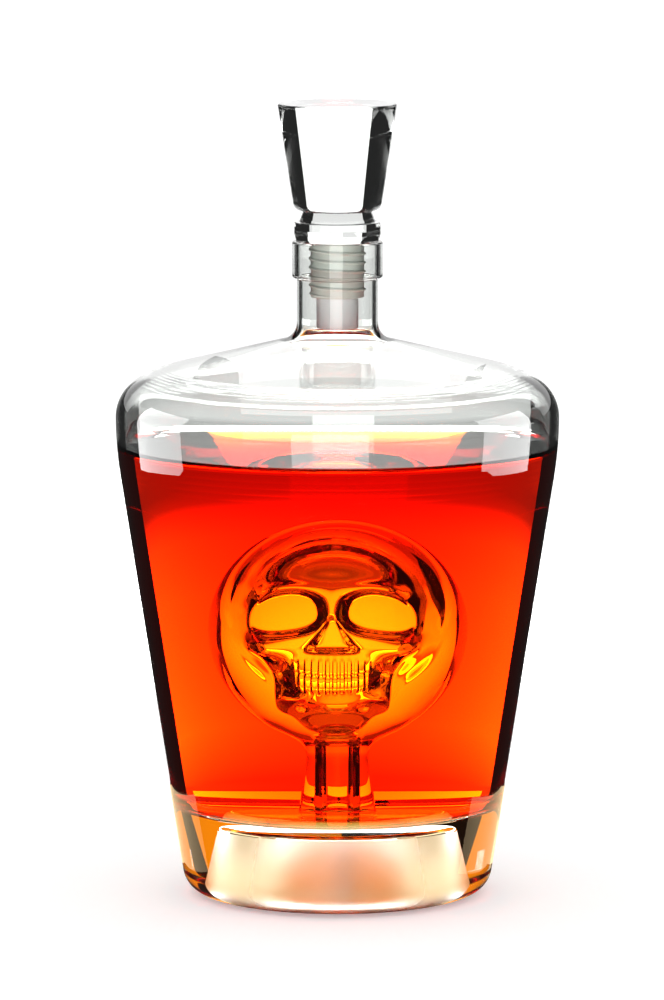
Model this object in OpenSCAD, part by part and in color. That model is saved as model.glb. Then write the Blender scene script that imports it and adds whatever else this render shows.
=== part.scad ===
// Liquor decanter: a tapered glass vessel on a thick foot, with a hollow glass skull standing in
// the liquor on a hollow stem, and a solid glass stopper with a ribbed seal on its shank.
// Frame: the origin is at the middle of the foot's resting ring, +Z is up, the skull faces -Y.

/* [Vessel] */
// Outer radius that the tapered wall would have at the table
base_r = 44.3; // [40:0.1:48]
// Outer radius at the widest point, under the shoulder
widest_r = 64.5; // [60:0.5:72]
// Height of the widest point
corner_z = 139.7; // [130:0.1:150]
// Outer radius of the slight swell of the wall, from the straight taper up to the widest point
swell_r = 114.4; // [60:0.2:130]
// Outer radius of the tight corner above the widest point
corner_r = 12.4; // [10:0.1:16]
// Turn of the wall over the tight corner, in degrees
corner_turn = 58; // [45:1:65]
// Outer radius of the broader round between the tight corner and the sloping shoulder
shoulder_r = 30; // [20:0.5:40]
// Slope of the shoulder, in degrees from level
shoulder_slope = 13.8; // [8:0.1:20]
// Thickness of the blown side wall and shoulder
wall_t = 2.5; // [2:0.1:4]

/* [Foot] */
// Height of the chamber's floor above the table
floor_z = 26; // [22:0.5:34]
// Radius of the corner between the chamber's floor and its wall
floor_corner_r = 5; // [3:0.5:7]
// Radius of the rounded heel under the wall
heel_r = 7.3; // [4:0.1:8.5]
// Radius of the hollow under the foot, at the table
punt_mouth_r = 26; // [22:0.5:30]
// Radius of the hollow under the foot, at its ceiling
punt_top_r = 23; // [18:0.5:25]
// Depth of the hollow under the foot
punt_depth = 22.6; // [14:0.2:24]
// Radius of the corner between the hollow's ceiling and its side
punt_corner_r = 1.5; // [1:0.1:3]

/* [Neck] */
// Outer radius of the neck tube
neck_r = 11.85; // [11:0.05:13]
// Thickness of the neck tube's wall
neck_wall_t = 1.45; // [1.2:0.05:2]
// Outer radius of the fillet between shoulder and neck
flare_r = 5; // [3:0.5:8]
// Height of the neck tube's top, where the lip ring starts
neck_top_z = 180.3; // [174:0.1:196]
// Outer radius of the lip ring
lip_r = 13.2; // [12.8:0.05:15.5]
// Radius of the opening in the lip ring
lip_bore_r = 11.4; // [10.8:0.05:12]
// Height of the lip ring
lip_h = 10.7; // [8:0.1:15]
// Radius of the lip ring's rounded edges
lip_edge_r = 0.7; // [0.3:0.1:0.7]

/* [Stopper] */
// Radius of the collar that sits on the lip ring
collar_r = 12.6; // [12.2:0.1:14]
// Radius of the collar at its lower end, which sits on the lip ring
collar_low_r = 12; // [11.6:0.1:12.2]
// Height of the collar
collar_h = 5.6; // [4.5:0.1:7]
// Height of the collar's tapered lower part
collar_taper_h = 2; // [1:0.1:3]
// Radius of the waist at the collar
waist_low_r = 11.1; // [10.5:0.1:11.8]
// Radius of the waist at the head
waist_r = 9.9; // [9:0.1:10.4]
// Height of the waist
waist_h = 3.2; // [2:0.1:4]
// Radius of the head at its lower end
head_low_r = 13; // [12.5:0.1:15]
// Radius of the head at its top
head_top_r = 17.35; // [15:0.05:22]
// Height of the head
head_h = 31.1; // [24:0.1:45]
// Radius of the rounded lower corner of the head
head_corner_r = 2.8; // [1.8:0.1:3]
// Radius of the broken edge around the head's top
head_edge_r = 0.5; // [0.2:0.1:1]
// Radius of the shank below the collar
shank_r = 6.1; // [5:0.1:6.5]
// Length of the shank below the lip ring's top
shank_len = 25.9; // [22:0.1:30]

/* [Seal] */
// Outer radius of the seal between its ribs
seal_r = 7.75; // [7.4:0.05:8]
// Height of each rib above the seal
rib_h = 0.55; // [0.3:0.05:0.8]
// Height of each rib along the seal
rib_w = 1.1; // [0.8:0.1:1.4]
// Distance from one rib to the next
rib_pitch = 2.6; // [2.2:0.1:3.2]
// Number of ribs
rib_count = 6; // [4:1:7]
// Length of the seal
seal_len = 16.3; // [15:0.1:20]
// Running clearance between the shank and the seal's bore, on the radius
seal_clear = 0.05; // [0.02:0.01:0.09]

/* [Stem and liquor] */
// Outer radius of the stem that carries the skull
stem_r = 6.6; // [5:0.1:7.5]
// Radius of the bore inside the stem
stem_bore_r = 4.6; // [3:0.1:4.8]
// Radius of the weld flare at the stem's foot
stem_flare_r = 1.8; // [1:0.1:3]
// Height of the liquor's surface above the table
liquor_z = 131; // [119:0.5:134]
// Gap that keeps the liquor's solid clear of the glass
film_gap = 0.2; // [0.1:0.05:0.4]

/* [Skull] */
// Height of the skull's centre above the table
skull_z = 81; // [76:0.5:84]
// Half of the width of the glass around the skull
skull_half_w = 27.5; // [24:0.5:29]
// Half of its depth
skull_half_d = 31; // [30:0.5:34]
// Half of its height
skull_half_h = 33.5; // [32.5:0.5:34]
// Height of the cap that the level seat on the stem cuts off the skull's lower end
skull_seat_cut = 1.5; // [1:0.1:2]
// Least thickness of the glass in front of the hollow
skull_wall_t = 1.8; // [1.4:0.1:2.4]
// Half of the width of the skull-shaped hollow inside the glass
hollow_half_w = 21; // [18:0.1:21.5]
// Half of the depth of the hollow's cranium
hollow_half_d = 23; // [21:0.1:24]
// Half of the hollow's height
hollow_half_h = 29.3; // [26:0.1:29.6]
// Distance of each eye socket's middle from the middle plane
eye_x = 11; // [9:0.1:11.5]
// Height of the eye sockets above the skull's centre
eye_up = 6.2; // [4:0.1:7.5]
// Half of an eye socket's width
eye_half_w = 9; // [6:0.1:9.4]
// Half of an eye socket's height
eye_half_h = 5.8; // [4.5:0.1:6.5]
// Distance of the flat floor of the eye sockets in front of the skull's centre
eye_floor = 14.5; // [12:0.1:16]
// Droop of the eye sockets' outer ends, in degrees
eye_droop = 10; // [0:1:16]
// Half of the nose opening's width at its lower edge
nose_half_w = 5; // [3.5:0.1:5.5]
// Height of the nose opening's top above the skull's centre
nose_up = 5.3; // [3:0.1:6]
// Height of the nose opening from its top to its lower edge
nose_h = 9.1; // [7:0.1:12]
// Distance of the flat floor of the nose opening in front of the skull's centre
nose_floor = 17.5; // [15:0.1:19]

/* [Hidden] */
$fn = 96;

// Overrun of every cut, and the step between the points of an arc
overrun = 0.5;
arc_step = 6;

// Points on an arc about (cr, cz), from angle a0 to a1 in degrees
function arc(cr, cz, r, a0, a1) =
    let (n = max(2, ceil(abs(a1 - a0) / arc_step)))
    [for (i = [0 : n]) [cr + r * cos(a0 + (a1 - a0) * i / n), cz + r * sin(a0 + (a1 - a0) * i / n)]];

// The same points without the first, to go on from a line that ends there
function arc_on(cr, cz, r, a0, a1) =
    let (points = arc(cr, cz, r, a0, a1))
    [for (i = [1 : len(points) - 1]) points[i]];

// The wall is a straight taper, tangent to the arc of its swell
swell_cr = widest_r - swell_r;
taper_a = atan2(swell_cr - base_r, corner_z) + asin(swell_r / norm([swell_cr - base_r, corner_z]));

// Radius of the taper, moved inwards by t, at height z
function taper_r(t, z) =
    swell_cr + (swell_r - t) * cos(taper_a)
    - (corner_z - (swell_r - t) * sin(taper_a) - z) * tan(taper_a);

// Centres of the tight corner and of the broader round above it
corner_cr = widest_r - corner_r;
shoulder_cr = corner_cr - (shoulder_r - corner_r) * cos(corner_turn);
shoulder_cz = corner_z - (shoulder_r - corner_r) * sin(corner_turn);

// Height where the neck's fillet of radius fr, on a neck of radius nr, leaves the upright neck,
// for a shoulder moved inwards by t
function flare_z(t, nr, fr) =
    shoulder_cz + (shoulder_r - t) * cos(shoulder_slope)
    + (fr - (nr + fr - shoulder_cr - (shoulder_r - t) * sin(shoulder_slope)) * sin(shoulder_slope))
    / cos(shoulder_slope);

// Swell, corner, shoulder and neck fillet as one line, moved inwards by t, going up
function shoulder_line(t, nr, fr) = concat(
    arc(swell_cr, corner_z, swell_r - t, -taper_a, 0),
    arc_on(corner_cr, corner_z, corner_r - t, 0, corner_turn),
    arc_on(shoulder_cr, shoulder_cz, shoulder_r - t, corner_turn, 90 - shoulder_slope),
    arc(nr + fr, flare_z(t, nr, fr), fr, 270 - shoulder_slope, 180));

// Inner fillet under the neck, and the height of the seam between shoulder and neck
bore_r = neck_r - neck_wall_t;
inner_flare_r = flare_r + wall_t;
seam_z = flare_z(0, neck_r, flare_r);

// Seam between the foot and the blown wall, level with the top of the chamber's floor corner
chamber_seam_z = floor_z + floor_corner_r * (1 - sin(taper_a));

// Level at which the straight wall ends and its swell starts
wall_top_z = corner_z - swell_r * sin(taper_a);

// Corner between the floor and the wall of a chamber moved inwards by t, going up
function floor_corner(t) = arc(taper_r(wall_t + floor_corner_r, floor_z + floor_corner_r),
    floor_z + floor_corner_r, floor_corner_r - t, -90, -taper_a);

heel_cr = taper_r(heel_r, heel_r);
punt_corner_z = punt_depth - punt_corner_r;
lip_top_z = neck_top_z + lip_h;
skull_seat_z = skull_z - skull_half_h + skull_seat_cut;

// Foot: a thick disc with a conical hollow under it
module base_block() {
    color([0.93, 0.95, 0.93, 0.5])
    difference() {
        rotate_extrude()
        polygon(concat(
            [[0, 0]],
            arc(heel_cr, heel_r, heel_r, -90, -taper_a),
            [[taper_r(0, chamber_seam_z), chamber_seam_z]],
            [for (i = [len(floor_corner(0)) - 1 : -1 : 0]) floor_corner(0)[i]],
            [[0, floor_z]]));
        rotate_extrude()
        polygon(concat(
            [[0, -overrun], [punt_mouth_r, -overrun], [punt_mouth_r, 0]],
            arc(punt_top_r - punt_corner_r, punt_corner_z, punt_corner_r, 0, 90),
            [[0, punt_depth]]));
    }
}

// Blown side wall, a straight taper from the foot up
module side_wall() {
    color([0.93, 0.95, 0.93, 0.3])
    rotate_extrude()
    polygon([
        [taper_r(wall_t, chamber_seam_z), chamber_seam_z], [taper_r(0, chamber_seam_z), chamber_seam_z],
        [taper_r(0, wall_top_z), wall_top_z], [taper_r(wall_t, wall_top_z), wall_top_z]]);
}

// Blown shoulder: swell of the wall, rounded corner, slope and the fillet under the neck
module shoulder_dome() {
    inner = shoulder_line(wall_t, bore_r, inner_flare_r);
    color([0.93, 0.95, 0.93, 0.3])
    rotate_extrude()
    polygon(concat(
        [[taper_r(wall_t, wall_top_z), wall_top_z]],
        shoulder_line(0, neck_r, flare_r),
        [[bore_r, seam_z]],
        [for (i = [len(inner) - 1 : -1 : 0]) if (inner[i][1] < seam_z) inner[i]]));
}

// Neck tube, welded on the shoulder
module neck_tube() {
    color([0.93, 0.95, 0.93, 0.3])
    difference() {
        translate([0, 0, seam_z]) cylinder(h = neck_top_z - seam_z, r = neck_r);
        translate([0, 0, seam_z - overrun]) cylinder(h = neck_top_z - seam_z + 2 * overrun, r = bore_r);
    }
}

// Lip ring: the widened and fire-polished rim of the neck
module lip_ring() {
    color([0.93, 0.95, 0.93, 0.3])
    rotate_extrude()
    polygon(concat(
        [[bore_r, neck_top_z]],
        arc(lip_r - lip_edge_r, neck_top_z + lip_edge_r, lip_edge_r, -90, 0),
        arc(lip_r - lip_edge_r, lip_top_z - lip_edge_r, lip_edge_r, 0, 90),
        [[lip_bore_r, lip_top_z]],
        arc(bore_r, neck_top_z + lip_bore_r - bore_r, lip_bore_r - bore_r, 0, -90)));
}

// Outline of the stem from the floor up, with its weld flare, moved outwards by t
function stem_line(t) = concat(
    arc(stem_r + stem_flare_r, floor_z + stem_flare_r, stem_flare_r - t, 270, 180),
    [[stem_r + t, skull_seat_z]]);

// Hollow stem between the floor and the skull
module stem_tube() {
    color([0.93, 0.95, 0.93, 0.4])
    difference() {
        rotate_extrude()
        polygon(concat([[0, floor_z]], stem_line(0), [[0, skull_seat_z]]));
        translate([0, 0, floor_z - overrun])
        cylinder(h = skull_seat_z - floor_z + 2 * overrun, r = stem_bore_r);
    }
}

// Ellipsoids that the hollow's cranium and its face and jaw follow, about the skull's centre, and
// half sizes, as shares of the hollow's half width, half depth and half height
cranium_shares = [[0, 0.167, 0.175], [1, 1, 0.818]];
face_shares = [[0, -0.345, -0.29], [0.77, 0.62, 0.67]];
// Sharpness of the blend between the two
blend_share = 14;
// Softer features of the face: [across, up, half width, half height, relief], with the heights as
// shares of the hollow's half height and the others as shares of its half width
relief_shares = [
    [0.825, -0.112, 0.275, 0.105, 0.16],
    [0.475, 0.460, 0.375, 0.080, 0.095],
    [0, 0.420, 0.150, 0.105, 0.03],
    [0, 0.245, 0.110, 0.175, 0.08],
    [0.975, 0.490, 0.250, 0.280, -0.14],
    [0.660, -0.455, 0.210, 0.190, -0.23],
    [0, -0.437, 0.400, 0.227, 0.13],
    [0, -0.900, 0.325, 0.122, 0.07],
    [0.375, -0.770, 0.150, 0.091, -0.13],
    [0.675, -0.750, 0.180, 0.119, 0.10]];
// How far the front of the hollow is flattened, 2 for a round front
front_flatness = 5;
// Steepness of the rims of the eye sockets and of the nose opening
eye_rim_share = 16;
nose_rim_share = 9;
// Roundness of the eye sockets' outline, 2 for an ellipse
eye_round_share = 2.6;
// Width of the nose opening at its top, as a share of that at its lower edge
nose_tip_share = 0.1;
// Depth behind which the face's relief fades out, and the length over which it does, as shares of
// the hollow's half depth
front_start_share = 0.1;
front_fade_share = 0.075;
// Share of the face's relief that the outside of the glass shows
outside_relief_share = 0.2;

// Distance from the centre at which the direction d leaves the ellipsoid about c with half sizes h
function blob_r(d, c, h) =
    let (
        u = [d[0] / h[0], d[1] / h[1], d[2] / h[2]],
        w = [c[0] / h[0], c[1] / h[1], c[2] / h[2]],
        a = u * u,
        b = u * w)
    (b + sqrt(max(0, b * b - a * (w * w - 1)))) / a;

hollow_half = [hollow_half_w, hollow_half_d, hollow_half_h];
function times(a, b) = [a[0] * b[0], a[1] * b[1], a[2] * b[2]];

// Share of a feature's depth at the distance d from its middle, 1 inside and 0 outside
function soft(d, steepness) = 1 / (1 + exp(min(50, (d - 1) * steepness)));

// Softer relief at the point p of the hollow's front, and shares of the sockets and the nose there
function relief(p) =
    [for (s = relief_shares) s[4] * hollow_half_w * exp(
        -pow((abs(p[0]) / hollow_half_w - s[0]) / s[2], 2)
        - pow((p[2] / hollow_half_h - s[1]) / s[3], 2))]
    * [for (s = relief_shares) 1];
function eye_share(p) =
    let (
        x = abs(p[0]) - eye_x,
        z = p[2] - eye_up,
        across = abs((x * cos(eye_droop) - z * sin(eye_droop)) / eye_half_w),
        up = abs((x * sin(eye_droop) + z * cos(eye_droop)) / eye_half_h))
    soft(pow(pow(across, eye_round_share) + pow(up, eye_round_share), 1 / eye_round_share), eye_rim_share);
function nose_share(p) =
    let (h = (nose_up - p[2]) / nose_h)
    soft(abs(p[0]) / (nose_half_w * (nose_tip_share + max(0, h))), nose_rim_share)
    * soft(abs(2 * h - 1), nose_rim_share * 2);
function front(p) = 1 / (1 + exp(min(50, (p[1] / hollow_half_d + front_start_share) / front_fade_share)));

// Distance of the hollow's smooth form from the skull's centre, along the unit direction d
function smooth_r(d) =
    pow(pow(blob_r(d, times(cranium_shares[0], hollow_half), times(cranium_shares[1], hollow_half)),
            blend_share)
        + pow(blob_r(d, times(face_shares[0], hollow_half), times(face_shares[1], hollow_half)),
            blend_share),
        1 / blend_share);

// Foremost distance of the face from the skull's centre, and the form's point with its front flattened
front_y = (face_shares[1][1] - face_shares[0][1]) * hollow_half_d;
function flattened(p) =
    let (
        share = min(1, max(0, -p[1] / front_y)),
        depth = front_y * pow(1 - pow(1 - share * share, front_flatness / 2), 1 / front_flatness))
    [p[0], p[1] < 0 ? -depth : p[1], p[2]];

// Foremost distance that the hollow can reach at the point p, inside the glass's wall
function reach(p) =
    let (
        x = p[0] / (skull_half_w - skull_wall_t),
        z = p[2] / (skull_half_h - skull_wall_t))
    (skull_half_d - skull_wall_t) * sqrt(max(0, 1 - x * x - z * z));

// Point of the hollow's surface: the relief raises it, then sockets and nose are drawn back to their floors
function hollow_point(d) =
    let (
        start = smooth_r(d) * d,
        f = front(start),
        p = flattened(start),
        raised = p * (1 + f * relief(p) / norm(p)),
        eye_y = raised[1] - f * eye_share(p) * (eye_floor + raised[1]),
        nose_y = eye_y - f * nose_share(p) * (nose_floor + eye_y))
    [raised[0], max(nose_y, -reach(raised)), raised[2]];

// Point of the outside of the glass, moved outwards by t
function outside_point(d, t) =
    let (p = smooth_r(d) * d)
    d * (blob_r(d, [0, 0, 0], [skull_half_w, skull_half_d, skull_half_h])
        + front(p) * outside_relief_share * relief(p) + t);

// Unit direction of the point j of n around ring i of m: the points crowd together at the face
crowd_share = 0.45;
function direction(i, m, j, n) =
    let (
        turn = 360 * j / n,
        a = turn - crowd_share * sin(turn) * 180 / PI,
        e = 180 * i / m - 90)
    [sin(a) * cos(e), -cos(a) * cos(e), sin(e)];

// Closed surface about the skull's centre: m rings of n points, from the lowest point to the highest
module ringed_form(rings, m, n) {
    last = 1 + (m - 1) * n;
    points = concat(
        [rings[0][0]],
        [for (i = [1 : m - 1]) for (j = [0 : n - 1]) rings[i][j]],
        [rings[m][0]]);
    function at(i, j) = 1 + (i - 1) * n + j % n;
    faces = concat(
        [for (j = [0 : n - 1]) [0, at(1, j), at(1, j + 1)]],
        [for (i = [1 : m - 2]) for (j = [0 : n - 1]) [at(i, j), at(i + 1, j), at(i + 1, j + 1)]],
        [for (i = [1 : m - 2]) for (j = [0 : n - 1]) [at(i, j), at(i + 1, j + 1), at(i, j + 1)]],
        [for (j = [0 : n - 1]) [at(m - 1, j), last, at(m - 1, j + 1)]]);
    translate([0, 0, skull_z]) polyhedron(points, faces);
}

outside_rings = 30;
outside_points = 52;
hollow_rings = 46;
hollow_points = 80;

module skull_outside(t) {
    ringed_form([for (i = [0 : outside_rings]) [for (j = [0 : outside_points - 1])
        outside_point(direction(i, outside_rings, j, outside_points), t)]],
        outside_rings, outside_points);
}

module skull_hollow() {
    ringed_form([for (i = [0 : hollow_rings]) [for (j = [0 : hollow_points - 1])
        hollow_point(direction(i, hollow_rings, j, hollow_points))]],
        hollow_rings, hollow_points);
}

// Depth below the skull's centre at which the stem's bore ends inside the hollow, as a share of the
// hollow's half height
bore_end_share = 0.6;

// Hollow glass skull, cut level where it sits on the stem and open into the stem's bore
module skull_shell() {
    color([0.98, 0.85, 0.45, 0.6])
    difference() {
        skull_outside(0);
        skull_hollow();
        translate([0, 0, skull_seat_z - skull_half_h])
        cylinder(h = skull_half_h, r = skull_half_w);
        translate([0, 0, skull_seat_z - overrun])
        cylinder(h = skull_z - hollow_half_h * bore_end_share - skull_seat_z, r = stem_bore_r);
    }
}

// Liquor: fills the chamber up to its surface, around the stem and the skull
module liquor() {
    color([0.95, 0.22, 0, 0.7])
    difference() {
        rotate_extrude()
        intersection() {
            polygon(concat(
                [[0, floor_z + film_gap]],
                floor_corner(film_gap),
                shoulder_line(wall_t + film_gap, bore_r, inner_flare_r),
                [[0, seam_z]]));
            square([widest_r, liquor_z]);
        }
        rotate_extrude()
        polygon(concat([[0, floor_z - overrun]], [[stem_r + stem_flare_r, floor_z - overrun]],
            stem_line(film_gap), [[0, skull_seat_z]]));
        skull_outside(film_gap);
    }
}

// Solid glass knob: head, waist and collar in one casting
module stopper_knob() {
    collar_top = lip_top_z + collar_h;
    head_z = collar_top + waist_h;
    head_top = head_z + head_h;
    color([0.9, 0.92, 0.92, 0.5])
    rotate_extrude()
    polygon(concat(
        [[0, lip_top_z], [collar_low_r, lip_top_z], [collar_r, lip_top_z + collar_taper_h],
            [collar_r, collar_top], [waist_low_r, collar_top], [waist_r, head_z]],
        arc(head_low_r - head_corner_r, head_z + head_corner_r, head_corner_r, -90, 0),
        arc(head_top_r - head_edge_r, head_top - head_edge_r, head_edge_r, 0, 90),
        [[0, head_top]]));
}

// Moulded shank under the knob, which carries the seal
module stopper_shank() {
    color([0.88, 0.87, 0.86])
    translate([0, 0, lip_top_z - shank_len]) cylinder(h = shank_len, r = shank_r);
}

// Ribbed seal around the shank
module stopper_seal() {
    seal_z = lip_top_z - seal_len;
    rib_margin = (seal_len - (rib_count - 1) * rib_pitch - rib_w) / 2;
    color([0.72, 0.73, 0.71])
    difference() {
        union() {
            translate([0, 0, seal_z]) cylinder(h = seal_len, r = seal_r);
            for (i = [0 : rib_count - 1])
                translate([0, 0, seal_z + rib_margin + i * rib_pitch])
                cylinder(h = rib_w, r = seal_r + rib_h);
        }
        translate([0, 0, seal_z - overrun]) cylinder(h = seal_len + 2 * overrun, r = shank_r + seal_clear);
    }
}

base_block();
side_wall();
shoulder_dome();
neck_tube();
lip_ring();
stem_tube();
skull_shell();
liquor();
stopper_knob();
stopper_shank();
stopper_seal();
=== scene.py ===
"""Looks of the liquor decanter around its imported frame: one fused glass vessel with a hollow skull in
it, the liquor, and the glass stopper with its ribbed seal."""
import math

import bpy
import numpy as np
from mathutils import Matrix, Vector


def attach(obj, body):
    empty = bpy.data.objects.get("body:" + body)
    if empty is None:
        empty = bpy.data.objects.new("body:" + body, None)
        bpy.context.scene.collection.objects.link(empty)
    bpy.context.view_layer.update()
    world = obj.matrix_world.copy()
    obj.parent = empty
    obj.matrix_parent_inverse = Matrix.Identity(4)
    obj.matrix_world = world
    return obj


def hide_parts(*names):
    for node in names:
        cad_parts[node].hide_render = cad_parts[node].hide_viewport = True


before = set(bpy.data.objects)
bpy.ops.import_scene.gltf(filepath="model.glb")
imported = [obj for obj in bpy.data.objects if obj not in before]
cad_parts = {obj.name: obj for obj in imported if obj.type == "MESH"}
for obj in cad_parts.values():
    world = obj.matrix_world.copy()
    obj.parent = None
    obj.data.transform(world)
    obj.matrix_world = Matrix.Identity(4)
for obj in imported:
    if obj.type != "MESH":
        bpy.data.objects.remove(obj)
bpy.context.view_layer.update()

# Sizes are in millimetres, as in the part's source, and Blender works in metres
MM = 0.001


# Foot
# The foot is a thick disc of clear glass, pressed with a conical hollow under it, and its edges are
# fire polished. It stands on the flat ring around the hollow.
BASE_R = 44.3
WIDEST_R = 64.5
CORNER_Z = 139.7
SWELL_R = 114.4
WALL_T = 2.5
FLOOR_Z = 26.0
FLOOR_CORNER_R = 5.0
HEEL_R = 7.3
PUNT_MOUTH_R = 26.0
PUNT_TOP_R = 23.0
PUNT_DEPTH = 22.6
PUNT_CORNER_R = 1.5
PUNT_EDGE_R = 0.8

swell_cr = WIDEST_R - SWELL_R
taper = math.atan2(swell_cr - BASE_R, CORNER_Z) + math.asin(SWELL_R / math.hypot(swell_cr - BASE_R, CORNER_Z))
taper_deg = math.degrees(taper)


def arc(centre_r, centre_z, radius, start, end, step=5):
    """Points (radius, height) on an arc, from one angle to another in degrees."""
    count = max(2, math.ceil(abs(end - start) / step))
    angles = np.radians(np.linspace(start, end, count + 1))
    return [(centre_r + radius * math.cos(a), centre_z + radius * math.sin(a)) for a in angles]


def taper_r(inset, z):
    """Radius of the tapered wall at height z, moved inwards by inset."""
    tangent_z = CORNER_Z - (SWELL_R - inset) * math.sin(taper)
    return swell_cr + (SWELL_R - inset) * math.cos(taper) - (tangent_z - z) * math.tan(taper)


punt_side_deg = math.degrees(math.atan2(PUNT_MOUTH_R - PUNT_TOP_R, PUNT_DEPTH - PUNT_CORNER_R))
foot_line = [
    *arc(PUNT_TOP_R - PUNT_CORNER_R, PUNT_DEPTH - PUNT_CORNER_R, PUNT_CORNER_R, 90, punt_side_deg, 10),
    *arc(PUNT_MOUTH_R + PUNT_EDGE_R, PUNT_EDGE_R, PUNT_EDGE_R, 180 + punt_side_deg, 270, 12),
    *arc(taper_r(HEEL_R, HEEL_R), HEEL_R, HEEL_R, -90, -taper_deg),
]


# Wall, shoulder and neck
# The side wall and the shoulder are blown in one piece of clear glass, and the neck tube is welded on
# with a soft fillet inside and outside.
CORNER_R = 12.4
CORNER_TURN = 58.0
SHOULDER_R = 30.0
SHOULDER_SLOPE = 13.8
NECK_R = 11.85
NECK_WALL_T = 1.45
FLARE_R = 5.0
BORE_R = NECK_R - NECK_WALL_T

corner_cr = WIDEST_R - CORNER_R
shoulder_cr = corner_cr - (SHOULDER_R - CORNER_R) * math.cos(math.radians(CORNER_TURN))
shoulder_cz = CORNER_Z - (SHOULDER_R - CORNER_R) * math.sin(math.radians(CORNER_TURN))


def shoulder_line(inset, neck_r, flare_r):
    """Swell of the wall, corner, shoulder and neck fillet, moved inwards by inset, going up."""
    slope = math.radians(SHOULDER_SLOPE)
    radius = SHOULDER_R - inset
    run = neck_r + flare_r - shoulder_cr - radius * math.sin(slope)
    flare_z = shoulder_cz + radius * math.cos(slope) + (flare_r - run * math.sin(slope)) / math.cos(slope)
    return [
        *arc(swell_cr, CORNER_Z, SWELL_R - inset, -taper_deg, 0, 1),
        *arc(corner_cr, CORNER_Z, CORNER_R - inset, 0, CORNER_TURN, 4),
        *arc(shoulder_cr, shoulder_cz, radius, CORNER_TURN, 90 - SHOULDER_SLOPE, 3),
        *arc(neck_r + flare_r, flare_z, flare_r, 270 - SHOULDER_SLOPE, 180),
    ]


# Lip ring
# The rim of the neck is thickened into a straight ring of the same glass, and its edges are rounded
# by the flame. The stopper's collar stands on it.
NECK_TOP_Z = 180.3
LIP_R = 13.2
LIP_BORE_R = 11.4
LIP_TOP_Z = 191.0
LIP_EDGE_R = 0.7
LIP_FOOT_R = 0.5

lip_line = [
    *arc(NECK_R + LIP_FOOT_R, NECK_TOP_Z - LIP_FOOT_R, LIP_FOOT_R, 180, 90, 15),
    *arc(LIP_R - LIP_EDGE_R, NECK_TOP_Z + LIP_EDGE_R, LIP_EDGE_R, -90, 0, 10),
    *arc(LIP_R - LIP_EDGE_R, LIP_TOP_Z - LIP_EDGE_R, LIP_EDGE_R, 0, 90, 10),
    *arc(LIP_BORE_R + LIP_EDGE_R, LIP_TOP_Z - LIP_EDGE_R, LIP_EDGE_R, 90, 180, 10),
    *arc(BORE_R, NECK_TOP_Z + LIP_BORE_R - BORE_R, LIP_BORE_R - BORE_R, 0, -90, 10),
]


# Floor and stem
# A hollow stem of the same clear glass is welded on the floor of the chamber with a small fillet, and
# carries the skull.
STEM_R = 6.6
STEM_FLARE_R = 1.8
STEM_TOP_Z = 44.5
STEM_BORE_R = 4.6
STEM_BORE_END_R = 1.4
STEM_BORE_TOP_Z = 50.0


def chamber_line(inset):
    """The chamber's inside from the neck down to the stem's top, moved into the glass by inset."""
    wall = WALL_T - inset
    up = [
        *reversed(arc(STEM_R + STEM_FLARE_R, FLOOR_Z + STEM_FLARE_R, STEM_FLARE_R + inset, 180, 270, 10)),
        *arc(taper_r(WALL_T + FLOOR_CORNER_R, FLOOR_Z + FLOOR_CORNER_R), FLOOR_Z + FLOOR_CORNER_R,
             FLOOR_CORNER_R + inset, -90, -taper_deg),
        *shoulder_line(wall, BORE_R, FLARE_R + WALL_T),
    ]
    return [*reversed(up), (STEM_R - inset, STEM_TOP_Z)]


# Skull
# The skull is a smooth bubble of clear glass, with a skull-shaped hollow blown in it from the stem.
# What shows is the hollow's surface, seen through the glass and the liquor.
SKULL_MIDDLE = np.array([0, 0, 81.0])
SKULL_HALF = np.array([27.5, 31.0, 33.5])
HOLLOW_HALF = np.array([21.0, 23.0, 29.3])
# Cranium and face of the hollow, about the skull's centre, and half sizes, as shares of HOLLOW_HALF
CRANIUM_SHARES = np.array([[0, 0.167, 0.175], [1, 1, 0.818]])
FACE_SHARES = np.array([[0, -0.345, -0.29], [0.77, 0.62, 0.67]])
BLEND_SHARE = 14
# The front of the form is flattened: exponent 2 leaves it round
FRONT_FLATNESS = 5.0
SKULL_WALL_T = 1.8
# Across, up, half width, half height and relief of the softer features, as shares of the half sizes
RELIEF_SHARES = [
    (0.825, -0.112, 0.275, 0.105, 0.16),
    (0.475, 0.460, 0.375, 0.080, 0.095),
    (0, 0.420, 0.150, 0.105, 0.03),
    (0, 0.245, 0.110, 0.175, 0.08),
    (0.975, 0.490, 0.250, 0.280, -0.14),
    (0.660, -0.455, 0.210, 0.190, -0.23),
    (0, -0.437, 0.400, 0.227, 0.13),
    (0, -0.900, 0.325, 0.122, 0.07),
    (0.375, -0.770, 0.150, 0.091, -0.13),
    (0.675, -0.750, 0.180, 0.119, 0.10),
]
EYE_X = 11.0
EYE_UP = 6.2
EYE_HALF_W = 9.0
EYE_HALF_H = 5.8
# Depth planes of the flat eye sockets and of the flat nose opening, in front of the skull's middle
EYE_FLOOR_Y = -14.5
NOSE_FLOOR_Y = -17.5
EYE_DROOP = math.radians(10)
EYE_RIM_SHARE = 22
EYE_ROUND_SHARE = 2.6
NOSE_HALF_W = 5.0
NOSE_UP = 5.3
NOSE_H = 9.1
NOSE_RIM_SHARE = 9
NOSE_TIP_SHARE = 0.1
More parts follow.
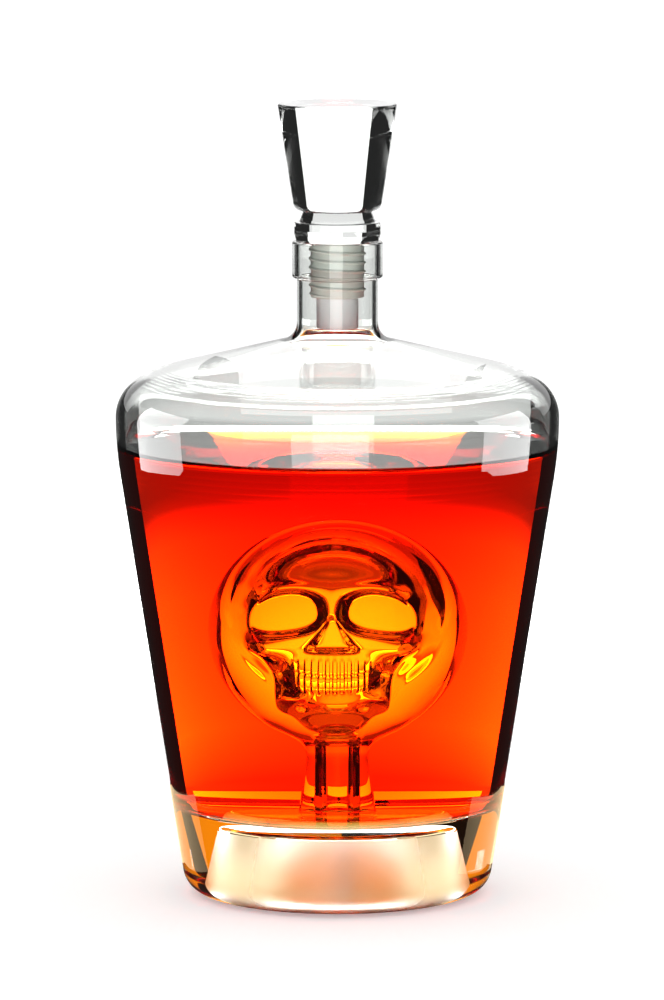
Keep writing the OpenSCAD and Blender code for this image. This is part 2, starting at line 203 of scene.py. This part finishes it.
# Teeth: a raised band with a groove between each two teeth and a line between the two rows
TOOTH_PITCH = 1.6
TOOTH_BAND_HALF_W = 8.6
TOOTH_BAND_Z = -10.3
TOOTH_BAND_HALF_H = 4.2
TOOTH_GROOVE_DEPTH = 0.75
TOOTH_LINE_DEPTH = 0.9
TOOTH_LINE_HALF_H = 0.45
TOOTH_RAISE = 0.7
TOOTH_BAND_EDGE_SHARE = 12
TOOTH_BAND_END_SHARE = 14
TOOTH_GROOVE_SHARPNESS = 6
# The outside follows the face's relief a little, and the face fades out towards the sides
OUTSIDE_RELIEF_SHARE = 0.2
FRONT_START_SHARE = 0.1
FRONT_FADE_SHARE = 0.075

# Columns of every ring: they crowd together at the face, where the detail is
COLUMNS = 240
CROWD_SHARE = 0.45
turns = 2 * np.pi * np.arange(COLUMNS) / COLUMNS
turns = turns - CROWD_SHARE * np.sin(turns)


def blob_r(d, centre, half):
    """Distance from the skull's centre at which the directions d leave an ellipsoid."""
    u = d / half
    w = centre / half
    a = (u * u).sum(-1)
    b = (u * w).sum(-1)
    return (b + np.sqrt(np.maximum(0, b * b - a * (w @ w - 1)))) / a


def soft(distance, steepness):
    """Share of a feature's depth: 1 inside the distance 1 from its middle, and 0 outside."""
    return 1 / (1 + np.exp(np.clip((distance - 1) * steepness, -50, 50)))


def face_form(p):
    """Relief of the face, and shares of the eye sockets and the nose opening, at the points p."""
    x = np.abs(p[..., 0])
    z = p[..., 2]
    relief = np.zeros(x.shape)
    for across, up, half_w, half_h, height in RELIEF_SHARES:
        bell = ((x / HOLLOW_HALF[0] - across) / half_w) ** 2 + ((z / HOLLOW_HALF[2] - up) / half_h) ** 2
        relief += height * HOLLOW_HALF[0] * np.exp(-bell)
    across = ((x - EYE_X) * math.cos(EYE_DROOP) - (z - EYE_UP) * math.sin(EYE_DROOP)) / EYE_HALF_W
    up = ((x - EYE_X) * math.sin(EYE_DROOP) + (z - EYE_UP) * math.cos(EYE_DROOP)) / EYE_HALF_H
    rim = (np.abs(across) ** EYE_ROUND_SHARE + np.abs(up) ** EYE_ROUND_SHARE) ** (1 / EYE_ROUND_SHARE)
    fall = (NOSE_UP - z) / NOSE_H
    nose_half = NOSE_HALF_W * (NOSE_TIP_SHARE + np.maximum(0, fall))
    nose = soft(x / nose_half, NOSE_RIM_SHARE) * soft(np.abs(2 * fall - 1), NOSE_RIM_SHARE * 2)
    return relief, soft(rim, EYE_RIM_SHARE), nose


def teeth(p):
    """Height of the tooth rows above the face at the points p."""
    x = np.abs(p[..., 0])
    z = p[..., 2] - TOOTH_BAND_Z
    band = soft(np.abs(z) / TOOTH_BAND_HALF_H, TOOTH_BAND_EDGE_SHARE)
    band = band * soft(x / TOOTH_BAND_HALF_W, TOOTH_BAND_END_SHARE)
    grooves = TOOTH_GROOVE_DEPTH * np.abs(np.cos(np.pi * x / TOOTH_PITCH)) ** TOOTH_GROOVE_SHARPNESS
    line = TOOTH_LINE_DEPTH * np.exp(-(z / TOOTH_LINE_HALF_H) ** 2)
    return band * (TOOTH_RAISE - grooves - line)


def directions(rises):
    """Unit directions for each rise in degrees and each column."""
    e = np.radians(rises)[:, None]
    return np.stack([np.sin(turns) * np.cos(e), -np.cos(turns) * np.cos(e), np.sin(e) + 0 * turns], -1)


def skull_rings(rises, inner, outset=0.0):
    """Rings of the hollow's surface, or of the glass's outside moved outwards by outset."""
    d = directions(rises)
    cranium = blob_r(d, CRANIUM_SHARES[0] * HOLLOW_HALF, CRANIUM_SHARES[1] * HOLLOW_HALF)
    face = blob_r(d, FACE_SHARES[0] * HOLLOW_HALF, FACE_SHARES[1] * HOLLOW_HALF)
    smooth = (cranium ** BLEND_SHARE + face ** BLEND_SHARE) ** (1 / BLEND_SHARE)
    p = smooth[..., None] * d
    front = soft(1 + FRONT_START_SHARE + p[..., 1] / HOLLOW_HALF[1], 1 / FRONT_FADE_SHARE)
    if not inner:
        relief = face_form(p)[0]
        radius = blob_r(d, np.zeros(3), SKULL_HALF) + front * OUTSIDE_RELIEF_SHARE * relief + outset
        return radius[..., None] * d + SKULL_MIDDLE
    front_y = (FACE_SHARES[1][1] - FACE_SHARES[0][1]) * HOLLOW_HALF[1]
    share = np.clip(-p[..., 1] / front_y, 0, 1)
    flat = front_y * (1 - (1 - share ** 2) ** (FRONT_FLATNESS / 2)) ** (1 / FRONT_FLATNESS)
    p[..., 1] = np.where(p[..., 1] < 0, -flat, p[..., 1])
    relief, eyes, nose = face_form(p)
    lift = front * (relief + teeth(p))
    p = p * (1 + lift / np.linalg.norm(p, axis=-1))[..., None]
    for floor_y, depth in ((EYE_FLOOR_Y, eyes), (NOSE_FLOOR_Y, nose)):
        p[..., 1] += front * depth * (floor_y - p[..., 1])
    # Some glass stays between the hollow and the outside
    reach = SKULL_HALF - SKULL_WALL_T
    room = np.maximum(0, 1 - (p[..., 0] / reach[0]) ** 2 - (p[..., 2] / reach[2]) ** 2)
    p[..., 1] = np.maximum(p[..., 1], -reach[1] * np.sqrt(room))
    return p + SKULL_MIDDLE


def ring(radius, z):
    """One level ring of points."""
    return np.stack([radius * np.sin(turns), -radius * np.cos(turns), np.full(COLUMNS, float(z))], -1)


def curve_rings(start, start_way, end, end_way, count):
    """Rings between two rings, along a smooth curve that leaves and arrives in the given ways."""
    rings = []
    for t in np.linspace(0, 1, count + 1)[1:-1]:
        a = start * (1 - t) ** 3 + (start + start_way) * 3 * t * (1 - t) ** 2
        rings.append(a + (end - end_way) * 3 * t ** 2 * (1 - t) + end * t ** 3)
    return rings


def way(ring_a, ring_b, length):
    """Steps of a given length from each point of one ring towards the same point of the next."""
    step = ring_b - ring_a
    return step * length / np.linalg.norm(step, axis=-1, keepdims=True)


# Elevation at which the weld between stem and skull runs out into the skull
WELD_RISE = -68
WELD_REACH = 3.6
WELD_ROWS = 12
OUTSIDE_ROWS = 84
HOLLOW_ROWS = 170


def outside_rings(inset):
    """Outside of weld and skull, from just above the stem's top up, moved into the glass by inset."""
    rings = skull_rings(np.linspace(WELD_RISE, 90, OUTSIDE_ROWS)[:-1], False, -inset)
    stem_top = ring(STEM_R - inset, STEM_TOP_Z)
    up = np.array([0, 0, WELD_REACH])
    weld = curve_rings(stem_top, up, rings[0], way(rings[0], rings[1], WELD_REACH), WELD_ROWS)
    return [*weld, *rings]


# Fused vessel
# Foot, wall, neck, lip, stem and skull are one piece of borosilicate glass, because the maker fuses
# them in the flame. Where the liquor touches it, the glass hardly mirrors.
STEP = 6.0
GUARD = 0.2
GUARDED_LEN = 1.0
SHORTEST = 1e-4
LIQUOR_Z = 131.0
CREEP_H = 1.5
HOLLOW_END_REACH = 2.5
# Radius of the innermost ring around the axis, and height of a pole above the ring next to it
POLE_R = 0.5
POLE_RISE = np.array([0, 0, 0.02])


def filled(line):
    """The line with more points on its straight parts, and one close to each end of them, so that the
    smooth shading of the arcs doesn't spread over the flats."""
    points = [line[0]]
    for a, b in zip(line, line[1:]):
        length = math.dist(a, b)
        if length < SHORTEST:
            continue
        if length > GUARDED_LEN:
            count = math.ceil(length / STEP)
            shares = [GUARD / length, *(i / count for i in range(1, count)), 1 - GUARD / length]
            points += [(a[0] + (b[0] - a[0]) * s, a[1] + (b[1] - a[1]) * s) for s in shares]
        points.append(b)
    return points


def closed_skin(first, rings, last):
    """Vertices and faces of a closed skin: a pole, rings going up its outside, and a pole."""
    count = len(rings)
    vertices = np.vstack([[first], np.reshape(rings, (-1, 3)), [last]]) * MM
    columns = len(rings[0])
    j = np.arange(columns)
    k = (j + 1) % columns
    end = 1 + (count - 1) * columns
    faces = [(0, int(b), int(a)) for a, b in zip(1 + j, 1 + k)]
    for i in range(count - 1):
        low = 1 + i * columns
        faces += zip((low + j).tolist(), (low + k).tolist(),
                     (low + columns + k).tolist(), (low + columns + j).tolist())
    faces += [(int(a), int(b), len(vertices) - 1) for a, b in zip(end + j, end + k)]
    return vertices, faces


def smooth_object(name, *skins):
    """One object of one or more closed skins, shaded smooth."""
    vertices = np.vstack([skin[0] for skin in skins])
    faces = []
    start = 0
    for points, polygons in skins:
        faces += [tuple(start + index for index in polygon) for polygon in polygons]
        start += len(points)
    mesh = bpy.data.meshes.new(name)
    mesh.from_pydata(vertices.tolist(), [], faces)
    mesh.shade_smooth()
    thing = bpy.data.objects.new(name, mesh)
    bpy.context.collection.objects.link(thing)
    return thing


# Weld and skull follow the chamber's line, and the hollow is a skin of its own inside the glass
outer_line = filled([(POLE_R, PUNT_DEPTH), *foot_line, *shoulder_line(0, NECK_R, FLARE_R), *lip_line,
                     *chamber_line(0)])
hollow = skull_rings(np.linspace(90, WELD_RISE, HOLLOW_ROWS)[1:], True)
bore_top = ring(STEM_BORE_R, STEM_BORE_TOP_Z)
hollow_end = curve_rings(hollow[-1], way(hollow[-2], hollow[-1], HOLLOW_END_REACH),
                         bore_top, np.array([0, 0, -HOLLOW_END_REACH]), WELD_ROWS)
bore_line = filled([
    (STEM_BORE_R, STEM_BORE_TOP_Z),
    *arc(STEM_BORE_R - STEM_BORE_END_R, FLOOR_Z + STEM_BORE_END_R, STEM_BORE_END_R, 0, -90, 15),
    (POLE_R, FLOOR_Z)])
vessel_skin = closed_skin(
    (0, 0, PUNT_DEPTH), [*(ring(*point) for point in outer_line), *outside_rings(0)],
    outside_rings(0)[-1].mean(0) + POLE_RISE)
hollow_top = skull_rings([90], True)[0][0]
hollow_skin = closed_skin(hollow_top, [*hollow, *hollow_end, *(ring(*point) for point in bore_line)],
                          (0, 0, FLOOR_Z))
vessel = smooth_object("fused_vessel", vessel_skin, hollow_skin)


def linear(code):
    """Linear colour of an sRGB hex value."""
    channels = [int(code[i:i + 2], 16) / 255 for i in (0, 2, 4)]
    return [c / 12.92 if c <= 0.04045 else ((c + 0.055) / 1.055) ** 2.4 for c in channels] + [1]


def add(tree, kind, inputs=(), links=(), **settings):
    """A node with its settings, its inputs' values, and its links from other sockets."""
    node = tree.nodes.new(kind)
    for name, value in settings.items():
        setattr(node, name, value)
    for name, value in dict(inputs).items():
        node.inputs[name].default_value = value
    for name, socket in dict(links).items():
        tree.links.new(socket, node.inputs[name])
    return node


def new_material(name):
    """An empty material with its output node."""
    material = bpy.data.materials.new(name)
    material.use_nodes = True
    material.node_tree.nodes.clear()
    return material, material.node_tree, add(material.node_tree, "ShaderNodeOutputMaterial")


# Borosilicate glass, drawn and fused in the flame: colourless and clean, with the slow waviness of
# blown glass, which shows only as a slight wander of the lines seen through it
GLASS_IOR = 1.5
WAVE_MM = 22.0
WAVE_HEIGHT_MM = 0.012
ETCH = 0.4
ETCH_LOW_Z = 0.1
# How far a face's middle may miss a limit and still count as inside
SLACK = 0.01


def clear_glass(name, wave_mm, wave_height_mm, mirror, roughness=0.0):
    """Colourless glass with a slow waviness of the given length and height."""
    material, tree, output = new_material(name)
    place = add(tree, "ShaderNodeTexCoord")
    waves = add(tree, "ShaderNodeTexNoise", {"Scale": 1 / (wave_mm * MM), "Detail": 1.0},
                {"Vector": place.outputs["Object"]})
    bump = add(tree, "ShaderNodeBump", {"Strength": 1.0, "Distance": wave_height_mm * MM},
               {"Height": waves.outputs["Fac"]})
    glass = add(tree, "ShaderNodeBsdfPrincipled",
                {"Base Color": linear("fdfffd"), "Roughness": roughness, "IOR": GLASS_IOR,
                 "Transmission Weight": 1.0, "Specular Tint": (mirror, mirror, mirror, 1)},
                {"Normal": bump.outputs["Normal"]})
    tree.links.new(glass.outputs["BSDF"], output.inputs["Surface"])
    return material


vessel.data.materials.append(clear_glass("blown_borosilicate_glass", WAVE_MM, WAVE_HEIGHT_MM, 1.0))
vessel.data.materials.append(clear_glass("wetted_borosilicate_glass", WAVE_MM, WAVE_HEIGHT_MM, 0.0))
vessel.data.materials.append(clear_glass("etched_borosilicate_glass", WAVE_MM, WAVE_HEIGHT_MM, 1.0, ETCH))
for face in vessel.data.polygons[:len(vessel_skin[1])]:
    x, y, z = face.center / MM
    r = math.hypot(x, y)
    if FLOOR_Z - SLACK < z < LIQUOR_Z + CREEP_H and r < taper_r(WALL_T / 2, z):
        face.material_index = 1
    elif ETCH_LOW_Z < z < PUNT_DEPTH - PUNT_CORNER_R and r < PUNT_MOUTH_R + PUNT_EDGE_R:
        face.material_index = 2
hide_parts("base_block", "side_wall", "shoulder_dome", "neck_tube", "lip_ring", "stem_tube",
            "skull_shell")
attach(vessel, "vessel")


# Liquor
# A dark amber-red spirit fills the chamber to just under the shoulder, around the stem and the skull,
# and creeps a little up the glass at its rim.
CREEP_REACH = 1.3
CREEP_ROWS = 25
CREEP_CROWD = 1.6
# The liquor's skin lies this far inside the glass that it wets, so that no film of air shows
WET = 0.15
wet_r = taper_r(WALL_T - WET, LIQUOR_Z + CREEP_H)
liquor_line = [(r, z) for r, z in chamber_line(WET) if z < LIQUOR_Z]
surface_r = [POLE_R, *np.arange(STEP, wet_r - STEP, STEP),
             *(wet_r - STEP * np.linspace(1, 0, CREEP_ROWS) ** CREEP_CROWD)]
surface = [(r, LIQUOR_Z + CREEP_H * math.exp((r - wet_r) / CREEP_REACH)) for r in surface_r]
wet_line = filled([surface[-1], *liquor_line])
liquor_rings = [*reversed(outside_rings(WET)), *(ring(*point) for point in reversed(wet_line)),
                *(ring(*point) for point in reversed(surface[:-1]))]
liquor_first = outside_rings(WET)[-1].mean(0) + POLE_RISE
liquor = smooth_object("liquor_body", closed_skin(liquor_first, liquor_rings, (0, 0, LIQUOR_Z)))

# Amber-red spirit: clear, and it takes blue and green out of the light within a few millimetres, so
# it glows yellow where it is thin, orange behind the skull, and deep red across the whole vessel
LIQUOR_IOR = 1.36
LIQUOR_DENSITY = 160.0
LIQUOR_COLOUR = (0.99, 0.68, 0.0, 1)
material, tree, output = new_material("amber_red_spirit")
fluid = add(tree, "ShaderNodeBsdfPrincipled",
            {"Base Color": (1, 1, 1, 1), "Roughness": 0.0, "IOR": LIQUOR_IOR, "Transmission Weight": 1.0,
             "Specular Tint": (0, 0, 0, 1)})
depth = add(tree, "ShaderNodeVolumeAbsorption", {"Color": LIQUOR_COLOUR, "Density": LIQUOR_DENSITY})
tree.links.new(fluid.outputs["BSDF"], output.inputs["Surface"])
tree.links.new(depth.outputs["Volume"], output.inputs["Volume"])
liquor.data.materials.append(material)
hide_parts("liquor")
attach(liquor, "vessel")


# Stopper shank
# The shank is a plain pin, moulded from pale plastic, with a rounded lower edge. It is glued in the
# knob and carries the seal.
SHANK_R = 6.1
SHANK_LOW_Z = 165.1
SHANK_EDGE_R = 0.8

shank_line = filled([
    (POLE_R, SHANK_LOW_Z), *arc(SHANK_R - SHANK_EDGE_R, SHANK_LOW_Z + SHANK_EDGE_R, SHANK_EDGE_R, -90, 0, 10),
    (SHANK_R, LIP_TOP_Z), (POLE_R, LIP_TOP_Z)])
shank = smooth_object("shank_core", closed_skin(
    (0, 0, SHANK_LOW_Z), [ring(*point) for point in shank_line], (0, 0, LIP_TOP_Z)))


def moulded(name, colour, roughness, ior, grain_mm, grain_detail, grain_height_mm, grain_strength):
    """An opaque moulded material with the fine grain of its mould."""
    material, tree, output = new_material(name)
    place = add(tree, "ShaderNodeTexCoord")
    grain = add(tree, "ShaderNodeTexNoise", {"Scale": 1 / (grain_mm * MM), "Detail": grain_detail},
                {"Vector": place.outputs["Object"]})
    bump = add(tree, "ShaderNodeBump", {"Strength": grain_strength, "Distance": grain_height_mm * MM},
               {"Height": grain.outputs["Fac"]})
    body = add(tree, "ShaderNodeBsdfPrincipled",
               {"Base Color": linear(colour), "Roughness": roughness, "IOR": ior},
               {"Normal": bump.outputs["Normal"]})
    tree.links.new(body.outputs["BSDF"], output.inputs["Surface"])
    return material


# White polypropylene: even and half matt, so it only shows a soft grey from the light around it
shank.data.materials.append(moulded("moulded_white_polypropylene", "e6eef0", 0.42, 1.49, 0.6, 2.0, 0.02, 0.4))
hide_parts("stopper_shank")
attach(shank, "stopper")


# Seal
# A sleeve of pale grey silicone is pushed on the shank, with one thin fin winding around it like a
# thread. It hangs free in the neck.
SEAL_R = 7.75
SEAL_LEN = 16.3
SEAL_BORE_R = 6.15
FIN_H = 0.55
FIN_PITCH = 2.6
FIN_HALF_W = 0.33
FIN_EDGE_SHARE = 7
FIN_END_GAP = 0.9
FIN_END_SHARE = 40
SEAL_EDGE = 0.35
SEAL_ROWS = 140
SEAL_BORE_ROWS = 6

seal_low_z = LIP_TOP_Z - SEAL_LEN


def seal_ring(z):
    """Ring of the sleeve's outside at a height above its lower end, with the fin on it."""
    phase = (z - SEAL_LEN / 2) / FIN_PITCH + turns / (2 * np.pi)
    middle = np.abs(phase - np.round(phase)) * FIN_PITCH
    ends = soft(abs(z - SEAL_LEN / 2) / (SEAL_LEN / 2 - FIN_END_GAP), FIN_END_SHARE)
    radius = SEAL_R + FIN_H * soft(middle / FIN_HALF_W, FIN_EDGE_SHARE) * ends
    round_off = max(0.0, SEAL_EDGE - min(z, SEAL_LEN - z))
    radius = radius - SEAL_EDGE + math.sqrt(SEAL_EDGE ** 2 - round_off ** 2)
    rings = ring(1.0, seal_low_z + z)
    rings[:, :2] *= radius[:, None]
    return rings


def closed_tube(rings):
    """Vertices and faces of rings that come round to the first one again."""
    count, columns = len(rings), len(rings[0])
    faces = []
    j = np.arange(columns)
    k = (j + 1) % columns
    for i in range(count):
        low = i * columns
        high = (i + 1) % count * columns
        faces += zip((low + j).tolist(), (low + k).tolist(), (high + k).tolist(), (high + j).tolist())
    return np.reshape(rings, (-1, 3)) * MM, faces


seal_rings = [seal_ring(z) for z in np.linspace(0, SEAL_LEN, SEAL_ROWS)]
seal_bore = [ring(SEAL_BORE_R, z) for z in np.linspace(LIP_TOP_Z, seal_low_z, SEAL_BORE_ROWS)]
seal = smooth_object("ribbed_seal", closed_tube([*seal_rings, *seal_bore]))
# Grey silicone: softer and duller than the shank, so its fin shows as thin lines of shade
seal.data.materials.append(moulded("moulded_grey_silicone", "ced4cc", 0.5, 1.41, 0.8, 3.0, 0.03, 0.5))
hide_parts("stopper_seal")
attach(seal, "seal")


# Stopper knob
# The knob is pressed from solid clear glass and polished: a collar that sits on the lip ring, a waist,
# and a head that widens to a flat top.
COLLAR_R = 12.6
COLLAR_LOW_R = 12.0
COLLAR_H = 5.6
COLLAR_TAPER_H = 2.0
WAIST_LOW_R = 11.1
WAIST_R = 9.9
WAIST_H = 3.2
HEAD_LOW_R = 13.0
HEAD_TOP_R = 17.35
HEAD_H = 31.1
HEAD_CORNER_R = 2.8
HEAD_EDGE_R = 0.5

collar_top = LIP_TOP_Z + COLLAR_H
head_z = collar_top + WAIST_H
head_top = head_z + HEAD_H
knob_line = filled([
    (POLE_R, LIP_TOP_Z),
    (COLLAR_LOW_R, LIP_TOP_Z), (COLLAR_R, LIP_TOP_Z + COLLAR_TAPER_H), (COLLAR_R, collar_top),
    (WAIST_LOW_R, collar_top), (WAIST_R, head_z),
    *arc(HEAD_LOW_R - HEAD_CORNER_R, head_z + HEAD_CORNER_R, HEAD_CORNER_R, -90, 0, 6),
    *arc(HEAD_TOP_R - HEAD_EDGE_R, head_top - HEAD_EDGE_R, HEAD_EDGE_R, 0, 90, 15),
    (POLE_R, head_top)])
knob = smooth_object("glass_knob", closed_skin(
    (0, 0, LIP_TOP_Z), [ring(*point) for point in knob_line], (0, 0, head_top)))
# Pressed glass, polished: flatter than the blown vessel, so the light behind it shows clear and white
# through the middle, and the sloping sides turn dark
knob.data.materials.append(clear_glass("pressed_polished_glass", 16.0, 0.004, 1.0))
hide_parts("stopper_knob")
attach(knob, "stopper")


# Camera
# It stands where the photograph was taken from: a little to the right, above the shoulder, far away,
# so that the decanter's sides run nearly parallel.
CAMERA_TURN = math.radians(3.5)
CAMERA_RISE = math.radians(7.68)
CAMERA_DISTANCE = 1930.0
CAMERA_AIM_Z = 115.14
CAMERA_SENSOR_W = 36.0
CAMERA_LENS = 238.37
CAMERA_SHIFT_X = -0.0054

camera_data = bpy.data.cameras.new("camera")
camera_data.sensor_width = CAMERA_SENSOR_W
camera_data.lens = CAMERA_LENS
camera_data.shift_x = CAMERA_SHIFT_X
camera = bpy.data.objects.new("camera", camera_data)
bpy.context.collection.objects.link(camera)
to_camera = Vector((math.sin(CAMERA_TURN), -math.cos(CAMERA_TURN), 0))
back = to_camera * math.cos(CAMERA_RISE) + Vector((0, 0, math.sin(CAMERA_RISE)))
camera.location = (Vector((0, 0, CAMERA_AIM_Z)) + back * CAMERA_DISTANCE) * MM
camera.rotation_euler = (-back).to_track_quat("-Z", "Y").to_euler()
bpy.context.scene.camera = camera


# Studio
# A pale floor and a white room show to the camera. The glass is lit by glowing panels that the camera
# doesn't see: bright ones behind it, and dark room beside them, which draws its black edges.
WHITE = "ffffff"
AMBER = "ffe6a8"
PEACH = "ffe1b0"
ORANGE = "fd8805"


def one_sided(tree, output, surface):
    """Show a surface from its front only."""
    side = add(tree, "ShaderNodeNewGeometry")
    clear = add(tree, "ShaderNodeBsdfTransparent")
    shown = add(tree, "ShaderNodeMixShader", links={"Fac": side.outputs["Backfacing"], 1: surface,
                                                    2: clear.outputs["BSDF"]})
    tree.links.new(shown.outputs["Shader"], output.inputs["Surface"])


def sheet(name, corners):
    """A flat stage object with four corners in millimetres, and its empty material."""
    mesh = bpy.data.meshes.new(name)
    mesh.from_pydata([Vector(corner) * MM for corner in corners], [], [(0, 1, 2, 3)])
    thing = bpy.data.objects.new(name, mesh)
    bpy.context.collection.objects.link(thing)
    material, tree, output = new_material(name)
    mesh.materials.append(material)
    return thing, tree, output


def panel(name, centre, size, facing, strengths, tint=WHITE, mirrored=True, through=True, top_w=None):
    """A glowing sheet that only mirrored rays, or only rays through glass, or both meet. Strengths are
    pairs of a place from 0 at its foot to 1 at its top, and the light there."""
    half_w, half_h = size[0] / 2, size[1] / 2
    top_half_w = half_w if top_w is None else top_w / 2
    thing, tree, output = sheet(name, [(-half_w, -half_h, 0), (half_w, -half_h, 0), (top_half_w, half_h, 0),
                                       (-top_half_w, half_h, 0)])
    thing.location = Vector(centre) * MM
    thing.rotation_euler = Vector(facing).to_track_quat("Z", "Y").to_euler()
    thing.visible_camera = False
    thing.visible_shadow = False
    thing.visible_diffuse = False
    thing.visible_glossy = mirrored
    thing.visible_transmission = through
    place = add(tree, "ShaderNodeTexCoord")
    axis = add(tree, "ShaderNodeSeparateXYZ", links={"Vector": place.outputs["Generated"]})
    ramp = add(tree, "ShaderNodeValToRGB", links={"Fac": axis.outputs["Y"]})
    top = max(strength for _, strength in strengths)
    elements = ramp.color_ramp.elements
    while len(elements) < len(strengths):
        elements.new(1.0)
    for element, (position, strength) in zip(elements, strengths):
        element.position = position
        element.color = [channel * strength / top for channel in linear(tint)[:3]] + [1]
    glow = add(tree, "ShaderNodeEmission", {"Strength": top}, {"Color": ramp.outputs["Color"]})
    one_sided(tree, output, glow.outputs["Emission"])


def even(strength):
    """The same light all over a panel."""
    return [(0.0, strength), (1.0, strength)]


# Behind the decanter: a bright field up to the liquor's top rows, where it fades, and a calmer one
# above it for the clear shoulder, with slightly brighter bands for the rows that look white
panel("back_panel", (-11.7, 150.0, 62.0), (172, 124), to_camera,
      [(0.0, 1.5), (0.22, 1.5), (0.36, 7.0), (0.70, 6.5), (0.84, 4.5), (0.89, 2.4), (0.93, 0.9), (0.965, 0.6),
       (1.0, 0.6)], top_w=154)
panel("shoulder_panel", (-11.7, 150.5, 163.0), (154, 78), to_camera, [(0.0, 0.62), (0.06, 0.84), (1.0, 0.86)])
panel("mid_panel", (-6.0, 149.5, 142.0), (70, 14), to_camera, even(1.05), mirrored=False)
panel("high_panel", (-8.0, 149.5, 181.0), (115, 20), to_camera, even(1.02), mirrored=False, top_w=135)
panel("low_panel", (-9.2, 149.2, 10.0), (130, 20), to_camera, even(25.0), mirrored=False)
panel("top_back_panel", (0, 150.0, 265.0), (144, 140), (0, -1, 0), [(0.0, 1.3), (1.0, 1.4)])
# Low down: cards that light the teeth, the chin and the foot from behind, and a warm one under the foot
panel("near_floor", (0, 83.0, 0.2), (120, 44), (0, 0, 1), even(6.0), mirrored=False)
panel("far_floor", (0, 127.0, 0.2), (120, 44), (0, 0, 1), even(14.0), mirrored=False)
panel("floor_sheet", (0, 0, -1.0), (90, 90), (0, 0, 1), even(1.0), tint=AMBER, mirrored=False)
# In front and around: light for what the glass turns back towards the camera's side
panel("front_panel", (0, -300.0, 110.0), (200, 220), (0, 1, 0), even(6.0), mirrored=False)
panel("white_wall", (0, 600.0, 500.0), (1200, 600), (0, -1, 0), even(0.8), through=False)
for side, turn in (("left", -1), ("right", 1)):
    panel(side + "_flag", (turn * 45.0, 5.0, 220.0), (130, 110), (-turn, 0, 0), even(0.01), through=False)
    panel(side + "_softbox", (turn * 400.0, 58.5, 180.0), (273, 293), (-turn, 0, 0), even(6.0), through=False)

# A row of low cards stands close behind and beside the foot. Right half: the card's name, where it
# starts and ends on the floor from the front to the back, its strength and its tint
FOOT_CARD_H = 24.5
FOOT_CARD_GAP = 0.5
FOOT_CARDS = [
    ("side_card", (60, -20), (60, 20), 1.6, PEACH),
    ("turned_card", (60, 20), (36, 54), 1.6, PEACH),
    ("back_card", (36, 54), (3, 54), 1.1, ORANGE),
]


def foot_card(name, start, end, strength, tint):
    """A low card that faces the foot, from one place on the floor to another, clockwise from above."""
    run = Vector((end[0] - start[0], end[1] - start[1], 0))
    middle = ((start[0] + end[0]) / 2, (start[1] + end[1]) / 2, FOOT_CARD_H / 2 + FOOT_CARD_GAP)
    panel(name, middle, (run.length, FOOT_CARD_H), run.cross(Vector((0, 0, 1))), even(strength), tint=tint)


for name, front, rear, strength, tint in FOOT_CARDS:
    foot_card("left_" + name, (-front[0], front[1]), (-rear[0], rear[1]), strength, tint)
    foot_card("right_" + name, rear, front, strength, tint)
foot_card("middle_card", (-3, 54), (3, 54), 0.01, ORANGE)

# The floor and the room: both near white to the camera, and the room nearly dark in the glass
FLOOR_HALF = 40000.0
FLOOR_DROP = 0.5
FLOOR_PAINT = 0.8
FLOOR_GLOW = 0.35
ROOM_IN_GLASS = 0.02

floor, tree, output = sheet("floor", [(x * FLOOR_HALF, y * FLOOR_HALF, -FLOOR_DROP)
                                      for x, y in ((-1, -1), (1, -1), (1, 1), (-1, 1))])
floor.visible_glossy = False
floor.visible_transmission = False
paint = add(tree, "ShaderNodeBsdfDiffuse", {"Color": (FLOOR_PAINT, FLOOR_PAINT, FLOOR_PAINT, 1)})
glow = add(tree, "ShaderNodeEmission", {"Color": (1, 1, 1, 1), "Strength": FLOOR_GLOW})
both = add(tree, "ShaderNodeAddShader", links={0: paint.outputs["BSDF"], 1: glow.outputs["Emission"]})
one_sided(tree, output, both.outputs["Shader"])

world = bpy.data.worlds.new("white_room")
bpy.context.scene.world = world
world.use_nodes = True
tree = world.node_tree
tree.nodes.clear()
ray = add(tree, "ShaderNodeLightPath")
lit = add(tree, "ShaderNodeMath", {}, {0: ray.outputs["Is Camera Ray"], 1: ray.outputs["Is Diffuse Ray"]},
          operation="MAXIMUM")
level = add(tree, "ShaderNodeMapRange", {"To Min": ROOM_IN_GLASS, "To Max": 1.0}, {"Value": lit.outputs[0]})
room = add(tree, "ShaderNodeBackground", {"Color": (1, 1, 1, 1)}, {"Strength": level.outputs["Result"]})
add(tree, "ShaderNodeOutputWorld", links={"Surface": room.outputs["Background"]})

scene = bpy.context.scene
scene.view_settings.view_transform = "Standard"
scene.cycles.max_bounces = 32
scene.cycles.transmission_bounces = 32
scene.cycles.glossy_bounces = 16
scene.cycles.sample_clamp_indirect = 0
scene.cycles.caustics_reflective = True
scene.cycles.caustics_refractive = True
scene.cycles.blur_glossy = 0
